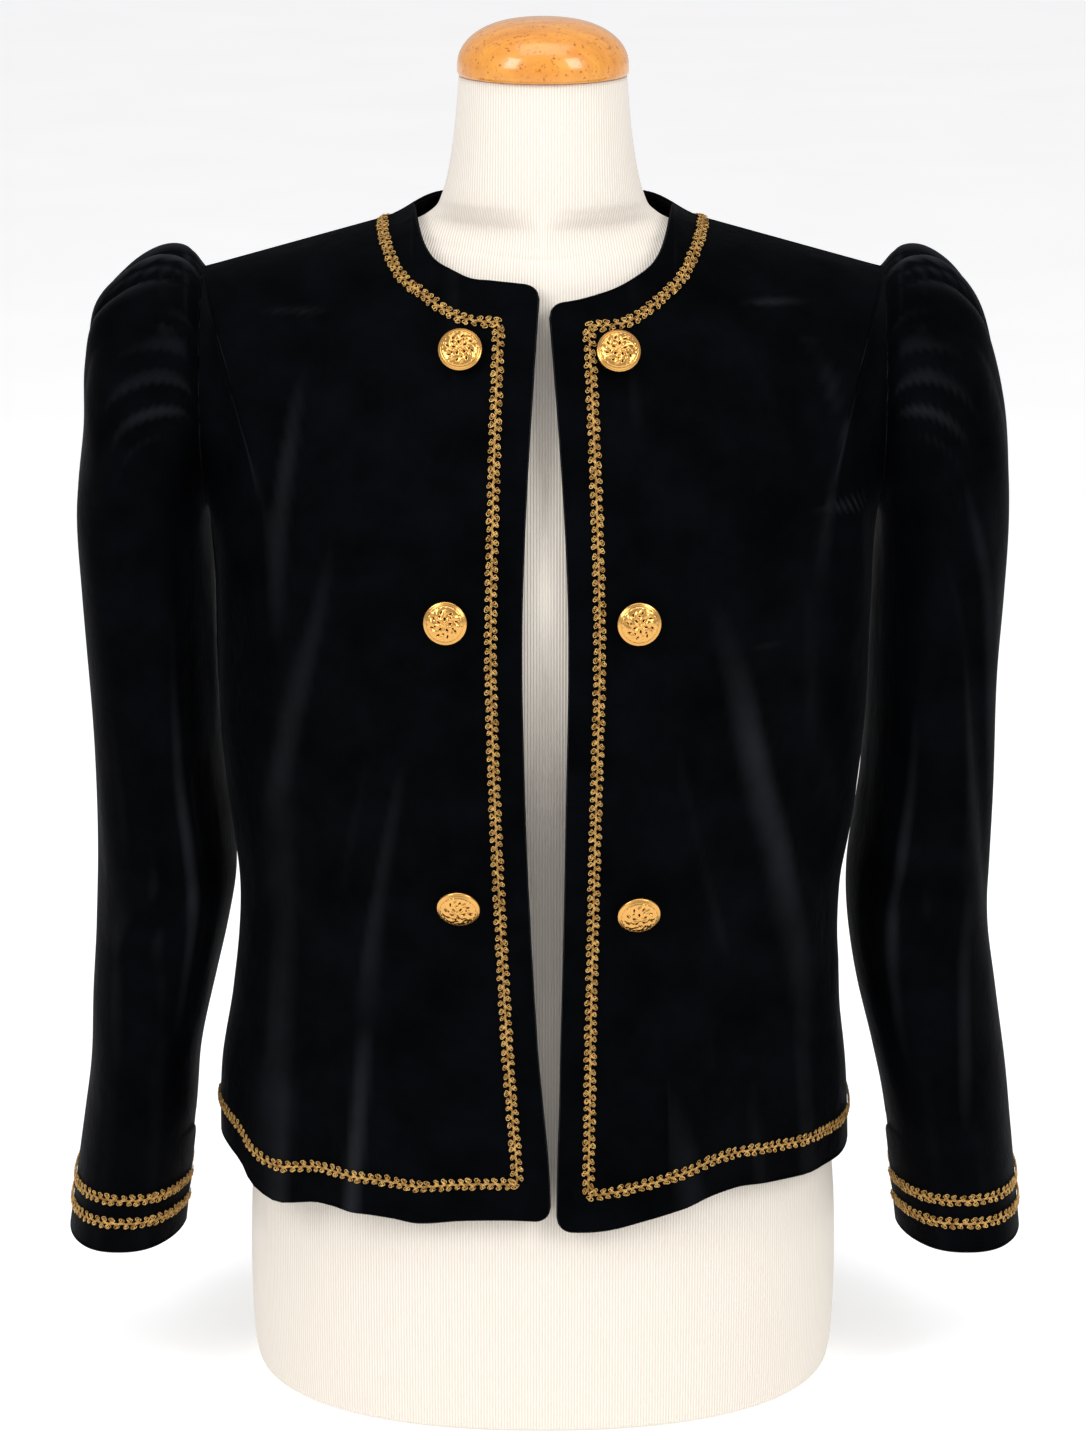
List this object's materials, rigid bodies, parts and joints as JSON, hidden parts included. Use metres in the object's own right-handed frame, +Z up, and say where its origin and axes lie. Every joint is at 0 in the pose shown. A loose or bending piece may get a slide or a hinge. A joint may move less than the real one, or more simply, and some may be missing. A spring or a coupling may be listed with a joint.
{
  "type": "velvet jacket on a limbless dress form",
  "caption": "Hip-length collarless velvet jacket with gathered sleeve heads, scroll braid edges and domed buttons, open in front, on a limbless jersey dress form.",
  "frame": {"origin": "middle of the dress form's flat base", "axes": "+Z up, the jacket's front faces -Y, the wearer's left is +X"},
  "size_m": [0.5722, 0.2579, 0.8088],
  "materials": {
    "velvet": "matte",
    "gimp_braid": "satin",
    "gilt_metal": "polished",
    "jersey": "matte",
    "varnished_wood": "gloss"
  },
  "bodies": {
    "root": {"front_right": "velvet", "front_left": "velvet", "back": "velvet", "sleeve_right": "velvet", "sleeve_left": "velvet", "braid_front_right": "gimp_braid", "braid_front_left": "gimp_braid", "braid_neck_back": "gimp_braid", "braid_hem_back": "gimp_braid", "braid_cuff_right_upper": "gimp_braid", "braid_cuff_right_lower": "gimp_braid", "braid_cuff_left_upper": "gimp_braid", "braid_cuff_left_lower": "gimp_braid", "button_right_1": "gilt_metal", "button_right_2": "gilt_metal", "button_right_3": "gilt_metal", "button_left_1": "gilt_metal", "button_left_2": "gilt_metal", "button_left_3": "gilt_metal", "form_body": "jersey", "form_neck_cap": "varnished_wood"}
  },
  "joints": []
}
